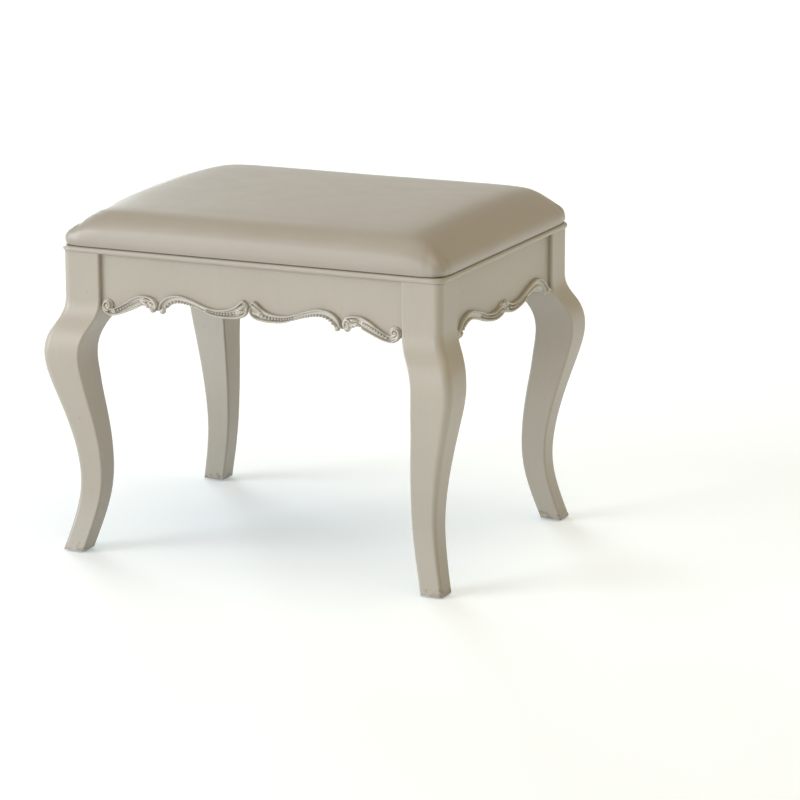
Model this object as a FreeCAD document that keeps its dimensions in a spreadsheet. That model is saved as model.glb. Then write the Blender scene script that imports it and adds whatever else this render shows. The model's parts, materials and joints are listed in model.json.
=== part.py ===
import FreeCAD, Part
import math
import os
import Sketcher
from FreeCAD import Placement, Rotation, Vector

# Upholstered vanity stool with cabriole legs: a doweled leg-and-apron frame, a bead moulding around
# its top, carved ribbons glued along the aprons' lower edges, and a padded seat screwed on from below.
# +Z is up, the front faces -Y, and the origin lies on the floor under the middle of the stool.

doc = FreeCAD.newDocument("vanity_stool")

# Driving dimensions in millimetres, one row each: alias and value.
DIMENSIONS = [
    ("overall_width", 559.05),
    ("overall_depth", 450.09),
    ("overall_height", 450.09),
    ("knee_projection", 21.0),
    ("leg_block", 52.0),
    ("frame_height", 388.5),
    ("outer_corner_radius", 10.0),
    ("foot_corner_radius", 3.5),
    ("leg_edge_radius", 2.5),
    ("apron_recess", 5.5),
    ("apron_thickness", 20.0),
    ("carving_relief", 6.5),
    ("carving_drop", 2.0),
    ("apron_end_rise", 1.0),
    ("volute_radius", 7.5),
    ("volute_lift", 5.6),
    ("volute_relief", 7.0),
    ("rail_thickness", 7.5),
    ("rail_overhang", 3.0),
    ("rail_breadth", 38.0),
    ("rail_corner_radius", 15.0),
    ("rail_nose_radius", 3.6),
    ("seat_inset", 2.0),
    ("seat_corner_radius", 22.0),
    ("seat_shoulder_radius", 34.0),
    ("cover_thickness", 1.2),
    ("hem_breadth", 30.0),
    ("board_thickness", 12.0),
    ("dust_cover_thickness", 0.8),
    ("dust_cover_gap", 1.0),
    ("dust_cover_chamfer", 75.0),
    ("dowel_radius", 4.0),
    ("dowel_length", 50.0),
    ("dowel_spacing", 26.0),
    ("dowel_low", 342.0),
    ("block_bottom", 340.0),
    ("block_height", 44.0),
    ("block_clearance", 2.0),
    ("block_reach", 118.0),
    ("block_ear", 22.0),
    ("block_ear_thickness", 12.5),
    ("seat_screw_setback", 58.5),
    ("bolt_radius", 3.0),
    ("bolt_length", 64.0),
    ("bolt_depth", 30.0),
    ("bolt_height", 356.0),
    ("washer_radius", 9.0),
    ("washer_thickness", 1.6),
    ("nut_radius", 5.77),
    ("nut_thickness", 5.0),
    ("hole_clearance", 0.25),
    ("hole_run_in", 5.0),
    ("pilot_rest", 2.0),
    ("screw_radius", 2.0),
    ("screw_head_radius", 4.0),
    ("screw_neck_radius", 3.2),
    ("screw_head_thickness", 2.4),
    ("block_screw_length", 26.0),
    ("seat_screw_length", 65.0),
    ("glide_radius", 9.0),
    ("glide_thickness", 2.0),
    ("glide_pin_radius", 1.5),
    ("glide_pin_length", 14.0),
    ("staple_crown", 10.0),
    ("staple_wire", 0.7),
    ("staple_pitch", 60.0),
    ("staple_inset", 6.0),
]

sheet = doc.addObject("Spreadsheet::Sheet", "dimensions")
for row, (alias, number) in enumerate(DIMENSIONS, start=1):
    sheet.set("A%d" % row, alias)
    sheet.set("B%d" % row, str(number))
    sheet.setAlias("B%d" % row, alias)
doc.recompute()

# Plan sizes that follow from the driving dimensions, as expressions.
BLOCK_X = "(dimensions.overall_width / 2 - dimensions.knee_projection)"
BLOCK_Y = "(dimensions.overall_depth / 2 - dimensions.knee_projection)"
RAIL_X = "(%s + dimensions.rail_overhang)" % BLOCK_X
RAIL_Y = "(%s + dimensions.rail_overhang)" % BLOCK_Y
SEAT_X = "(%s - dimensions.seat_inset)" % RAIL_X
SEAT_Y = "(%s - dimensions.seat_inset)" % RAIL_Y
APRON_X = "(%s - dimensions.leg_block)" % BLOCK_X
APRON_Y = "(%s - dimensions.leg_block)" % BLOCK_Y
APRON_INSIDE = "(dimensions.apron_recess + dimensions.apron_thickness)"
SEAT_BOTTOM = "(dimensions.frame_height + dimensions.rail_thickness)"
BOARD_BOTTOM = "(%s + dimensions.cover_thickness)" % SEAT_BOTTOM
BOARD_TOP = "(%s + dimensions.board_thickness)" % BOARD_BOTTOM

# Leg sections below the block, from the top down: height, how far the outer faces stand out of the
# block's outer faces, and how far the inner faces lie inside them.
LEG_SECTIONS = [
    (342.0, 0.0, 52.0), (330.0, 0.0, 52.0), (315.0, 2.2, 50.6), (301.0, 8.6, 45.4), (284.0, 17.0, 36.6),
    (261.0, 21.0, 31.6), (238.0, 18.5, 32.6), (212.0, 11.9, 35.3), (180.0, 3.0, 39.4), (146.0, -5.0, 43.0),
    (112.0, -10.2, 44.5), (82.0, -11.1, 43.1), (50.0, -6.9, 37.6), (22.0, -0.3, 30.3), (2.0, 5.3, 24.6),
]

# Half outlines of the carved ribbons, from the middle of the apron outwards: distance and height.
FRONT_CARVING_TOP = [
    (0.0, 341.0), (7.0, 345.5), (22.0, 335.0), (45.0, 331.0), (62.0, 332.5), (78.0, 338.5),
    (96.0, 344.0), (113.0, 341.0), (129.0, 331.0), (148.0, 340.0), (163.0, 334.5), (179.0, 325.0),
    (204.5, 325.0),
]
FRONT_CARVING_BOTTOM = [
    (0.0, 331.0), (10.0, 325.5), (28.0, 321.0), (50.0, 322.8), (63.0, 328.0), (79.0, 332.5),
    (96.0, 335.2), (112.0, 331.0), (123.0, 321.0), (135.0, 322.0), (148.0, 327.0), (158.0, 322.0),
    (173.0, 315.5), (188.0, 311.0), (204.5, 318.5),
]
SIDE_CARVING_TOP = [
    (0.0, 331.0), (12.0, 327.0), (30.0, 322.5), (55.0, 326.0), (80.0, 334.0), (105.0, 338.0),
    (125.0, 333.5), (140.0, 323.5), (150.5, 320.0),
]
SIDE_CARVING_BOTTOM = [
    (0.0, 316.0), (12.0, 313.0), (30.0, 311.0), (55.0, 314.5), (80.0, 321.5), (105.0, 326.5),
    (125.0, 322.0), (138.0, 312.5), (150.5, 311.0),
]

parts = []


def value(expression):
    """Number that an expression over the sheet's cells gives."""
    return float(sheet.evalExpression(expression))


def size(alias):
    """Number in one of the sheet's cells."""
    return value("dimensions." + alias)


def keep(item, label):
    """Name a finished sub-part and add it to the list that is written out."""
    item.Label = label
    parts.append(item)


def new_body(name):
    return doc.addObject("PartDesign::Body", name + "_body")


def new_sketch(body, name, role, offset="0"):
    """Sketch on one of the body's origin planes, moved along the plane's normal by an expression."""
    sketch = body.newObject("Sketcher::SketchObject", name)
    plane = next(item for item in body.Origin.OriginFeatures if item.Role == role)
    sketch.AttachmentSupport = (plane, [""])
    sketch.MapMode = "FlatFace"
    sketch.setExpression("AttachmentOffset.Base.z", offset)
    return sketch


def pin_point(sketch, geometry, end, place):
    """Hold one end point of a sketch line at a place given by two expressions."""
    for kind, expression in zip(("DistanceX", "DistanceY"), place):
        number = value(expression)
        index = sketch.addConstraint(Sketcher.Constraint(kind, -1, 1, geometry, end, number))
        sketch.setExpression("Constraints[%d]" % index, expression)


def add_polygon(sketch, corners):
    """Closed polygon whose corners are pairs of expressions."""
    places = [Vector(value(across), value(up), 0) for across, up in corners]
    first = sketch.GeometryCount
    for start, finish in zip(places, places[1:] + places[:1]):
        sketch.addGeometry(Part.LineSegment(start, finish), False)
    for step in range(len(places)):
        following = first + (step + 1) % len(places)
        sketch.addConstraint(Sketcher.Constraint("Coincident", first + step, 2, following, 1))
        pin_point(sketch, first + step, 1, corners[step])


def add_chain(sketch, curves):
    """Closed chain of lines and splines, each starting where the one before it ends."""
    first = sketch.GeometryCount
    for curve in curves:
        sketch.addGeometry(curve, False)
    for step in range(len(curves)):
        following = first + (step + 1) % len(curves)
        sketch.addConstraint(Sketcher.Constraint("Coincident", first + step, 2, following, 1))


def spline(points):
    """Smooth curve through the points."""
    curve = Part.BSplineCurve()
    curve.interpolate(Points=points)
    return curve


def mirrored_points(half_points, lift=0.0):
    """Points across the whole apron from those of its right half, from left to right."""
    left = [Vector(-across, up + lift, 0) for across, up in reversed(half_points[1:])]
    right = [Vector(across, up + lift, 0) for across, up in half_points]
    return left + right


def line(start, finish):
    return Part.LineSegment(start, finish)


def pad(body, name, sketch, length, reverse=False):
    """Raise the sketch along its plane's normal, or against it."""
    feature = body.newObject("PartDesign::Pad", name)
    feature.Profile = sketch
    feature.Reversed = reverse
    feature.setExpression("Length", length)
    doc.recompute()


def pocket(body, name, sketch):
    """Cut the sketch through the whole body, both ways from its plane."""
    before = body.Shape.Volume
    feature = body.newObject("PartDesign::Pocket", name)
    feature.Profile = sketch
    feature.SideType = "Symmetric"
    feature.setExpression("Length", "2 * dimensions.overall_width")
    doc.recompute()
    if body.Shape.Volume >= before:
        raise RuntimeError(name + " cuts nothing")


def add_box(body, name, half_x, half_y, bottom, height, kind="PartDesign::AdditiveBox"):
    """Box centred on the Z axis, with its sizes as expressions."""
    box = body.newObject(kind, name)
    box.setExpression("Length", "2 * " + half_x)
    box.setExpression("Width", "2 * " + half_y)
    box.setExpression("Height", height)
    box.setExpression("Placement.Base.x", "-" + half_x)
    box.setExpression("Placement.Base.y", "-" + half_y)
    box.setExpression("Placement.Base.z", bottom)
    doc.recompute()


def drill(body, name, place, direction, radius, length):
    """Round blind hole that starts at a place in the body and runs along a direction."""
    before = body.Shape.Volume
    hole = body.newObject("PartDesign::SubtractiveCylinder", name)
    hole.Placement = Placement(place, Rotation(Vector(0, 0, 1), direction))
    hole.setExpression("Radius", radius)
    hole.setExpression("Height", length)
    doc.recompute()
    if body.Shape.Volume >= before:
        raise RuntimeError(name + " cuts nothing")


def edge_names(shape, test):
    """Names of the edges whose centre and box pass a test."""
    return ["Edge%d" % (index + 1) for index, edge in enumerate(shape.Edges) if test(edge)]


def is_upright(edge):
    box = edge.BoundBox
    return box.ZLength > 0.5 and box.XLength < 1e-6 and box.YLength < 1e-6


def lies_at(height):
    """Test for edges that lie flat at one height."""
    def test(edge):
        box = edge.BoundBox
        return box.ZLength < 1e-6 and abs(box.ZMin - height) < 1e-6
    return test


def dress_edges(body, name, test, kind, dimension, expression):
    """Fillet or chamfer the body's edges that pass a test."""
    base = body.Tip
    dressing = body.newObject("PartDesign::" + kind, name)
    dressing.Base = (base, edge_names(base.Shape, test))
    dressing.setExpression(dimension, expression)
    doc.recompute()


def round_edges(body, name, test, radius):
    dress_edges(body, name, test, "Fillet", "Radius", radius)


def quarter_turn(turns):
    return Rotation(Vector(0, 0, 1), 90.0 * turns)


# The four corners: name, sign along X, sign along Y, and quarter turns from the front left one.
CORNERS = [
    ("front_left", -1, -1, 0),
    ("front_right", 1, -1, 1),
    ("back_right", 1, 1, 2),
    ("back_left", -1, 1, 3),
]


def corner_placement(corner):
    """Place of a corner's own frame: origin at the block's outer corner, +X and +Y pointing inwards."""
    sign_x, sign_y, turns = corner[1:]
    return Placement(Vector(sign_x * value(BLOCK_X), sign_y * value(BLOCK_Y), 0), quarter_turn(turns))


def place_at_corner(item, corner):
    """Bind a sub-part's placement to its corner."""
    sign_x, sign_y = corner[1:3]
    item.Placement = corner_placement(corner)
    item.setExpression("Placement.Base.x", "%d * %s" % (sign_x, BLOCK_X))
    item.setExpression("Placement.Base.y", "%d * %s" % (sign_y, BLOCK_Y))


# ---- Legs ----

def rounded_square(low, high, low_radius, radius):
    """Closed outline from (low, low) to (high, high), with a larger rounding at its low corner."""
    corners = [
        (Vector(low, low, 0), Vector(1, 0, 0), Vector(0, 1, 0), low_radius),
        (Vector(high, low, 0), Vector(0, 1, 0), Vector(-1, 0, 0), radius),
        (Vector(high, high, 0), Vector(-1, 0, 0), Vector(0, -1, 0), radius),
        (Vector(low, high, 0), Vector(0, -1, 0), Vector(1, 0, 0), radius),
    ]
    outline = []
    for step, (corner, onwards, back, rounding) in enumerate(corners):
        start = corner + back * rounding
        finish = corner + onwards * rounding
        middle = corner + (onwards + back) * (rounding * (1 - math.sqrt(0.5)))
        outline.append(Part.Arc(start, middle, finish))
        following, next_onwards, next_back, next_rounding = corners[(step + 1) % 4]
        outline.append(line(finish, following + next_back * next_rounding))
    return outline


def dowel_heights():
    return [size("dowel_low"), size("dowel_low") + size("dowel_spacing")]


def outer_rounding(height):
    """Rounding of the leg's outer corner: full down to the knee, then finer towards the foot."""
    knee = max(LEG_SECTIONS, key=lambda section: section[1])[0]
    part = min(1.0, height / knee)
    return size("foot_corner_radius") + part * (size("outer_corner_radius") - size("foot_corner_radius"))


def make_leg(corner):
    name = "leg_" + corner[0]
    body = new_body(name)
    block_bottom = LEG_SECTIONS[0][0]
    plan = new_sketch(body, name + "_block_plan", "XY_Plane", str(block_bottom))
    edge_radius = size("leg_edge_radius")
    add_chain(plan, rounded_square(0, size("leg_block"), size("outer_corner_radius"), edge_radius))
    pad(body, name + "_block", plan, "dimensions.frame_height - %s" % block_bottom)
    sections = []
    for number, (height, outwards, inwards) in enumerate(LEG_SECTIONS):
        section = new_sketch(body, "%s_section_%d" % (name, number), "XY_Plane", str(height))
        add_chain(section, rounded_square(-outwards, inwards, outer_rounding(height), edge_radius))
        sections.append(section)
    doc.recompute()
    curve = body.newObject("PartDesign::AdditiveLoft", name + "_curve")
    curve.Profile = sections[0]
    curve.Sections = sections[1:]
    doc.recompute()

    # Two dowel holes in each inner face, one hole for the hanger bolt and one for the glide's pin.
    middle = size("apron_recess") + size("apron_thickness") / 2
    depth = size("dowel_length") / 2
    block = size("leg_block")
    for number, height in enumerate(dowel_heights()):
        drill(body, "%s_dowel_x%d" % (name, number), Vector(block - depth, middle, height), Vector(1, 0, 0),
              "dimensions.dowel_radius", "dimensions.dowel_length")
        drill(body, "%s_dowel_y%d" % (name, number), Vector(middle, block - depth, height), Vector(0, 1, 0),
              "dimensions.dowel_radius", "dimensions.dowel_length")
    start = block - size("bolt_depth") / math.sqrt(2)
    drill(body, name + "_bolt_hole", Vector(start, start, size("bolt_height")), Vector(1, 1, 0),
          "dimensions.bolt_radius", "dimensions.bolt_length")
    drill(body, name + "_glide_hole", glide_centre(0), Vector(0, 0, 1),
          "dimensions.glide_pin_radius", "dimensions.glide_pin_length")
    place_at_corner(body, corner)
    doc.recompute()
    keep(body, name)


def glide_centre(height):
    """Middle of the foot, in the corner's own frame."""
    outwards, inwards = LEG_SECTIONS[-1][1:]
    middle = (inwards - outwards) / 2
    return Vector(middle, middle, height)


# ---- Aprons and their carvings ----

# The four sides: name, half length, distance of the block face, quarter turns, and the carving's halves.
SIDES = [
    ("front", APRON_X, BLOCK_Y, 0, FRONT_CARVING_TOP, FRONT_CARVING_BOTTOM),
    ("right", APRON_Y, BLOCK_X, 1, SIDE_CARVING_TOP, SIDE_CARVING_BOTTOM),
    ("back", APRON_X, BLOCK_Y, 2, FRONT_CARVING_TOP, FRONT_CARVING_BOTTOM),
    ("left", APRON_Y, BLOCK_X, 3, SIDE_CARVING_TOP, SIDE_CARVING_BOTTOM),
]


def place_on_side(item, side):
    """Put the item's own XZ plane on the outer face of a side's apron, with its -Y facing outwards."""
    distance, turns = side[2:4]
    rotation = quarter_turn(turns)
    face = "(%s - dimensions.apron_recess)" % distance
    outwards = rotation.multVec(Vector(0, -1, 0))
    item.Placement = Placement(outwards * value(face), rotation)
    item.setExpression("Placement.Base.x", "%d * %s" % (round(outwards.x), face))
    item.setExpression("Placement.Base.y", "%d * %s" % (round(outwards.y), face))


def block_screw_heights():
    return [size("block_bottom") + size("block_height") * part for part in (0.25, 0.75)]


def make_apron(side):
    name = "apron_" + side[0]
    half = value(side[1])
    top = size("frame_height")
    body = new_body(name)
    outline = new_sketch(body, name + "_outline", "XZ_Plane")
    bottom = side[5][:-1] + [(half, side[5][-1][1] + size("apron_end_rise"))]
    edge = spline(mirrored_points(bottom, size("carving_drop")))
    add_chain(outline, [
        edge,
        line(edge.EndPoint, Vector(half, top, 0)),
        line(Vector(half, top, 0), Vector(-half, top, 0)),
        line(Vector(-half, top, 0), edge.StartPoint),
    ])
    pad(body, name + "_board", outline, "dimensions.apron_thickness", reverse=True)

    middle = size("apron_thickness") / 2
    depth = size("dowel_length") / 2
    screw_x = half + size("leg_block") - size("block_reach") + size("block_ear") / 2
    screw_depth = size("apron_thickness") + size("block_ear_thickness") - size("block_screw_length")
    for sign in (-1, 1):
        for number, height in enumerate(dowel_heights()):
            drill(body, "%s_dowel_%d_%d" % (name, sign + 1, number),
                  Vector(sign * (half - depth), middle, height), Vector(sign, 0, 0),
                  "dimensions.dowel_radius", "dimensions.dowel_length")
        for number, height in enumerate(block_screw_heights()):
            drill(body, "%s_screw_%d_%d" % (name, sign + 1, number),
                  Vector(sign * screw_x, screw_depth, height), Vector(0, 1, 0),
                  "dimensions.screw_radius + dimensions.hole_clearance", "dimensions.block_screw_length")
    place_on_side(body, side)
    doc.recompute()
    keep(body, name)


def make_carving(side):
    name = "carving_" + side[0]
    body = new_body(name)
    outline = new_sketch(body, name + "_outline", "XZ_Plane")
    upper = spline(list(reversed(mirrored_points(side[4]))))
    lower = spline(mirrored_points(side[5]))
    add_chain(outline, [
        lower,
        line(lower.EndPoint, upper.StartPoint),
        upper,
        line(upper.EndPoint, lower.StartPoint),
    ])
    pad(body, name + "_ribbon", outline, "dimensions.carving_relief")
    if side[4] is FRONT_CARVING_TOP:
        # A raised volute closes each end of the long ribbons.
        across = FRONT_CARVING_TOP[-1][0] - size("volute_radius")
        height = FRONT_CARVING_BOTTOM[-1][1] + size("volute_lift")
        for number, sign in enumerate((-1, 1)):
            volute = body.newObject("PartDesign::AdditiveCylinder", "%s_volute_%d" % (name, number))
            outwards = Rotation(Vector(0, 0, 1), Vector(0, -1, 0))
            volute.Placement = Placement(Vector(sign * across, 0, height), outwards)
            volute.setExpression("Radius", "dimensions.volute_radius")
            volute.setExpression("Height", "dimensions.volute_relief")
            doc.recompute()
    place_on_side(body, side)
    doc.recompute()
    keep(body, name)


# ---- Top moulding ----

def make_top_rail(side):
    """One side of the bead moulding, mitred at both ends."""
    name = "top_rail_" + side[0]
    body = new_body(name)
    add_box(body, name + "_frame", RAIL_X, RAIL_Y, "dimensions.frame_height", "dimensions.rail_thickness")
    round_edges(body, name + "_corners", is_upright, "dimensions.rail_corner_radius")
    for number, height in enumerate((size("frame_height"), value(SEAT_BOTTOM))):
        round_edges(body, "%s_nose_%d" % (name, number), lies_at(height), "dimensions.rail_nose_radius")
    add_box(body, name + "_opening", "(%s - dimensions.rail_breadth)" % RAIL_X,
            "(%s - dimensions.rail_breadth)" % RAIL_Y, "dimensions.frame_height",
            "dimensions.rail_thickness", kind="PartDesign::SubtractiveBox")

    # Everything beyond the two mitre lines is cut away. They run at 45 degrees from the corners.
    beyond = "dimensions.leg_block"
    far_x = "(%s + %s)" % (RAIL_X, beyond)
    far_y = "(%s + %s)" % (RAIL_Y, beyond)
    ridge = "(%s - %s)" % (RAIL_X, RAIL_Y)
    if side[0] in ("front", "back"):
        sign = "-1 * " if side[0] == "front" else "1 * "
        other = "1 * " if side[0] == "front" else "-1 * "
        corners = [
            ("-1 * " + far_x, sign + far_y), ("-1 * " + ridge, "0"), (ridge, "0"),
            (far_x, sign + far_y), (far_x, other + far_y), ("-1 * " + far_x, other + far_y),
        ]
    else:
        sign = "1 * " if side[0] == "right" else "-1 * "
        other = "-1 * " if side[0] == "right" else "1 * "
        corners = [
            (sign + ridge, "0"), (sign + far_x, "-1 * " + far_y), (other + far_x, "-1 * " + far_y),
            (other + far_x, far_y), (sign + far_x, far_y),
        ]
    mitres = new_sketch(body, name + "_mitres", "XY_Plane", "dimensions.frame_height")
    add_polygon(mitres, corners)
    pocket(body, name + "_cut", mitres)
    keep(body, name)


# ---- Seat ----

def seat_screw_place():
    """Where a seat screw rises beside the corner's diagonal, in the corner's own frame."""
    inside = value(APRON_INSIDE)
    return Vector(inside + size("seat_screw_setback"), inside + size("block_ear_thickness"), 0)


def make_seat_board():
    name = "seat_board"
    body = new_body(name)
    half_x = "(%s - dimensions.cover_thickness)" % SEAT_X
    half_y = "(%s - dimensions.cover_thickness)" % SEAT_Y
    add_box(body, name + "_sheet", half_x, half_y, BOARD_BOTTOM, "dimensions.board_thickness")
    round_edges(body, name + "_corners", is_upright,
                "dimensions.seat_corner_radius - dimensions.cover_thickness")
    for corner in CORNERS:
        place = corner_placement(corner).multVec(seat_screw_place())
        place.z = value(BOARD_BOTTOM)
        drill(body, "%s_pilot_%s" % (name, corner[0]), place, Vector(0, 0, 1),
              "dimensions.screw_radius + dimensions.hole_clearance",
              "dimensions.board_thickness - dimensions.pilot_rest")
    keep(body, name)


def add_cushion_block(body, name, inset, bottom):
    """Rounded cushion shape, inset from the seat's outer surface by an expression."""
    half_x = "(%s - %s)" % (SEAT_X, inset)
    half_y = "(%s - %s)" % (SEAT_Y, inset)
    top = "(dimensions.overall_height - %s)" % inset
    add_box(body, name + "_block", half_x, half_y, bottom, "%s - %s" % (top, bottom))
    round_edges(body, name + "_corners", is_upright, "dimensions.seat_corner_radius - %s" % inset)
    round_edges(body, name + "_shoulder", lies_at(value(top)), "dimensions.seat_shoulder_radius - %s" % inset)


def make_seat_foam():
    name = "seat_foam"
    body = new_body(name)
    add_cushion_block(body, name, "dimensions.cover_thickness", BOARD_TOP)
    keep(body, name)


def make_seat_cover():
    """Upholstery skin over the foam and the board's edge, with a hem turned in under the board."""
    name = "seat_cover"
    outside = new_body(name + "_outside")
    add_cushion_block(outside, name + "_outside", "0", SEAT_BOTTOM)
    add_box(outside, name + "_hem_opening", "(%s - dimensions.hem_breadth)" % SEAT_X,
            "(%s - dimensions.hem_breadth)" % SEAT_Y, SEAT_BOTTOM, "dimensions.cover_thickness",
            kind="PartDesign::SubtractiveBox")
    inside = new_body(name + "_inside")
    add_cushion_block(inside, name + "_inside", "dimensions.cover_thickness", BOARD_BOTTOM)
    skin = doc.addObject("Part::Cut", name)
    skin.Base = outside
    skin.Tool = inside
    doc.recompute()
    keep(skin, name)


def make_dust_cover():
    """Thin cloth stretched under the seat, inside the moulding, with its corners cut off."""
    name = "dust_cover"
    body = new_body(name)
    inset = "(dimensions.rail_breadth + dimensions.dust_cover_gap)"
    add_box(body, name + "_cloth", "(%s - %s)" % (RAIL_X, inset), "(%s - %s)" % (RAIL_Y, inset),
            "(%s - dimensions.dust_cover_thickness)" % SEAT_BOTTOM, "dimensions.dust_cover_thickness")
    dress_edges(body, name + "_corners", is_upright, "Chamfer", "Size", "dimensions.dust_cover_chamfer")
    keep(body, name)


# ---- Corner blocks and hardware ----

def make_corner_block(corner):
    """Brace behind a leg, glued and screwed to both aprons and pulled to the leg by a hanger bolt."""
    name = "corner_block_" + corner[0]
    body = new_body(name)
    notch = "(dimensions.leg_block + dimensions.block_clearance)"
    ear = "(%s + dimensions.block_ear_thickness)" % APRON_INSIDE
    root = "(dimensions.block_reach - dimensions.block_ear)"
    outline = new_sketch(body, name + "_outline", "XY_Plane", "dimensions.block_bottom")
    add_polygon(outline, [
        (notch, APRON_INSIDE), ("dimensions.block_reach", APRON_INSIDE), ("dimensions.block_reach", ear),
        (root, ear), (ear, root), (ear, "dimensions.block_reach"), (APRON_INSIDE, "dimensions.block_reach"),
        (APRON_INSIDE, notch), (notch, notch),
    ])
    pad(body, name + "_brace", outline, "dimensions.block_height")

    clearance_hole = "dimensions.bolt_radius + dimensions.hole_clearance"
    screw_hole = "dimensions.screw_radius + dimensions.hole_clearance"
    inside = value(APRON_INSIDE)
    drill(body, name + "_bolt_hole", Vector(inside, inside, size("bolt_height")), Vector(1, 1, 0),
          clearance_hole, "3 * dimensions.leg_block")
    upright = seat_screw_place()
    drill(body, name + "_seat_screw_hole", upright, Vector(0, 0, 1), screw_hole, "dimensions.overall_height")
    start = inside - size("hole_run_in")
    across = size("block_reach") - size("block_ear") / 2
    for number, height in enumerate(block_screw_heights()):
        drill(body, "%s_screw_y%d" % (name, number), Vector(across, start, height), Vector(0, 1, 0),
              screw_hole, "dimensions.leg_block")
        drill(body, "%s_screw_x%d" % (name, number), Vector(start, across, height), Vector(1, 0, 0),
              screw_hole, "dimensions.leg_block")
    place_at_corner(body, corner)
    doc.recompute()
    keep(body, name)


def add_cylinder(name, place, direction, radius, length):
    cylinder = doc.addObject("Part::Cylinder", name)
    cylinder.Placement = Placement(place, Rotation(Vector(0, 0, 1), direction))
    cylinder.setExpression("Radius", radius)
    cylinder.setExpression("Height", length)
    return cylinder


def add_group(name, items):
    """Identical small pieces as separate solids of one sub-part."""
    group = doc.addObject("Part::Compound", name)
    group.Links = items
    doc.recompute()
    keep(group, name)


def add_screw(name, head_place, direction, length):
    """Countersunk wood screw: the head's flat side is at head_place, and the shank runs along direction."""
    shank = add_cylinder(name + "_shank", head_place, direction, "dimensions.screw_radius", length)
    head = doc.addObject("Part::Cone", name + "_head")
    back = head_place - Vector(direction).normalize() * size("screw_head_thickness")
    head.Placement = Placement(back, Rotation(Vector(0, 0, 1), direction))
    head.setExpression("Radius1", "dimensions.screw_head_radius")
    head.setExpression("Radius2", "dimensions.screw_neck_radius")
    head.setExpression("Height", "dimensions.screw_head_thickness")
    screw = doc.addObject("Part::Fuse", name)
    screw.Base = shank
    screw.Tool = head
    return screw


def along_corner(corner, place, direction):
    """A place and a direction of a corner's own frame, in the stool's frame."""
    frame = corner_placement(corner)
    return frame.multVec(place), frame.Rotation.multVec(direction)


def make_dowels():
    dowels = []
    middle = size("apron_recess") + size("apron_thickness") / 2
    start = size("leg_block") - size("dowel_length") / 2
    for corner in CORNERS:
        for number, height in enumerate(dowel_heights()):
            for axis, local, heading in (
                ("x", Vector(start, middle, height), Vector(1, 0, 0)),
                ("y", Vector(middle, start, height), Vector(0, 1, 0)),
            ):
                place, direction = along_corner(corner, local, heading)
                name = "dowel_%s_%s%d" % (corner[0], axis, number)
                dowels.append(add_cylinder(name, place, direction, "dimensions.dowel_radius",
                                           "dimensions.dowel_length"))
    add_group("apron_dowels", dowels)


def block_face_distance():
    """Distance of the corner block's slanted face from the corner, along the diagonal."""
    root = size("block_reach") - size("block_ear")
    return (root + value(APRON_INSIDE) + size("block_ear_thickness")) / math.sqrt(2)


def make_bolts():
    """Hanger bolt of each leg with its washer and hexagon nut, in three sub-parts."""
    bolts = []
    washers = []
    nuts = []
    diagonal = Vector(1, 1, 0).normalize()
    raise_up = Vector(0, 0, size("bolt_height"))
    start = size("leg_block") * math.sqrt(2) - size("bolt_depth")
    face = block_face_distance()
    for corner in CORNERS:
        place, direction = along_corner(corner, diagonal * start + raise_up, diagonal)
        bolts.append(add_cylinder("bolt_" + corner[0], place, direction, "dimensions.bolt_radius",
                                  "dimensions.bolt_length"))
        place, direction = along_corner(corner, diagonal * face + raise_up, diagonal)
        disc = add_cylinder("washer_disc_" + corner[0], place, direction, "dimensions.washer_radius",
                            "dimensions.washer_thickness")
        nut_place = place + direction * size("washer_thickness")
        prism = doc.addObject("Part::Prism", "nut_prism_" + corner[0])
        prism.Polygon = 6
        prism.Placement = Placement(nut_place, Rotation(Vector(0, 0, 1), direction))
        prism.setExpression("Circumradius", "dimensions.nut_radius")
        prism.setExpression("Height", "dimensions.nut_thickness")
        for blank, pieces, label in ((disc, washers, "washer_"), (prism, nuts, "nut_")):
            run_in = place - direction * size("hole_run_in")
            bore = add_cylinder(label + "bore_" + corner[0], run_in, direction,
                                "dimensions.bolt_radius + dimensions.hole_clearance / 2",
                                "dimensions.leg_block")
            ring = doc.addObject("Part::Cut", label + corner[0])
            ring.Base = blank
            ring.Tool = bore
            pieces.append(ring)
    add_group("hanger_bolts", bolts)
    add_group("bolt_washers", washers)
    add_group("bolt_nuts", nuts)


def make_block_screws():
    screws = []
    across = size("block_reach") - size("block_ear") / 2
    face = value(APRON_INSIDE) + size("block_ear_thickness")
    for corner in CORNERS:
        for number, height in enumerate(block_screw_heights()):
            for axis, local, heading in (
                ("x", Vector(face, across, height), Vector(-1, 0, 0)),
                ("y", Vector(across, face, height), Vector(0, -1, 0)),
            ):
                place, direction = along_corner(corner, local, heading)
                name = "block_screw_%s_%s%d" % (corner[0], axis, number)
                screws.append(add_screw(name, place, direction, "dimensions.block_screw_length"))
    add_group("block_screws", screws)


def make_seat_screws():
    screws = []
    for corner in CORNERS:
        local = seat_screw_place() + Vector(0, 0, size("block_bottom"))
        place, direction = along_corner(corner, local, Vector(0, 0, 1))
        screws.append(add_screw("seat_screw_" + corner[0], place, direction, "dimensions.seat_screw_length"))
    add_group("seat_screws", screws)


def make_glides():
    """Nail-on plastic glides under the feet, the lowest pieces of the stool."""
    glides = []
    for corner in CORNERS:
        place, up = along_corner(corner, glide_centre(0), Vector(0, 0, 1))
        disc = add_cylinder("glide_disc_" + corner[0], place, up, "dimensions.glide_radius",
                            "dimensions.glide_thickness")
        pin = add_cylinder("glide_pin_" + corner[0], place, up, "dimensions.glide_pin_radius",
                           "dimensions.glide_pin_length")
        glide = doc.addObject("Part::Fuse", "glide_" + corner[0])
        glide.Base = disc
        glide.Tool = pin
        glides.append(glide)
    add_group("foot_glides", glides)


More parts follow.
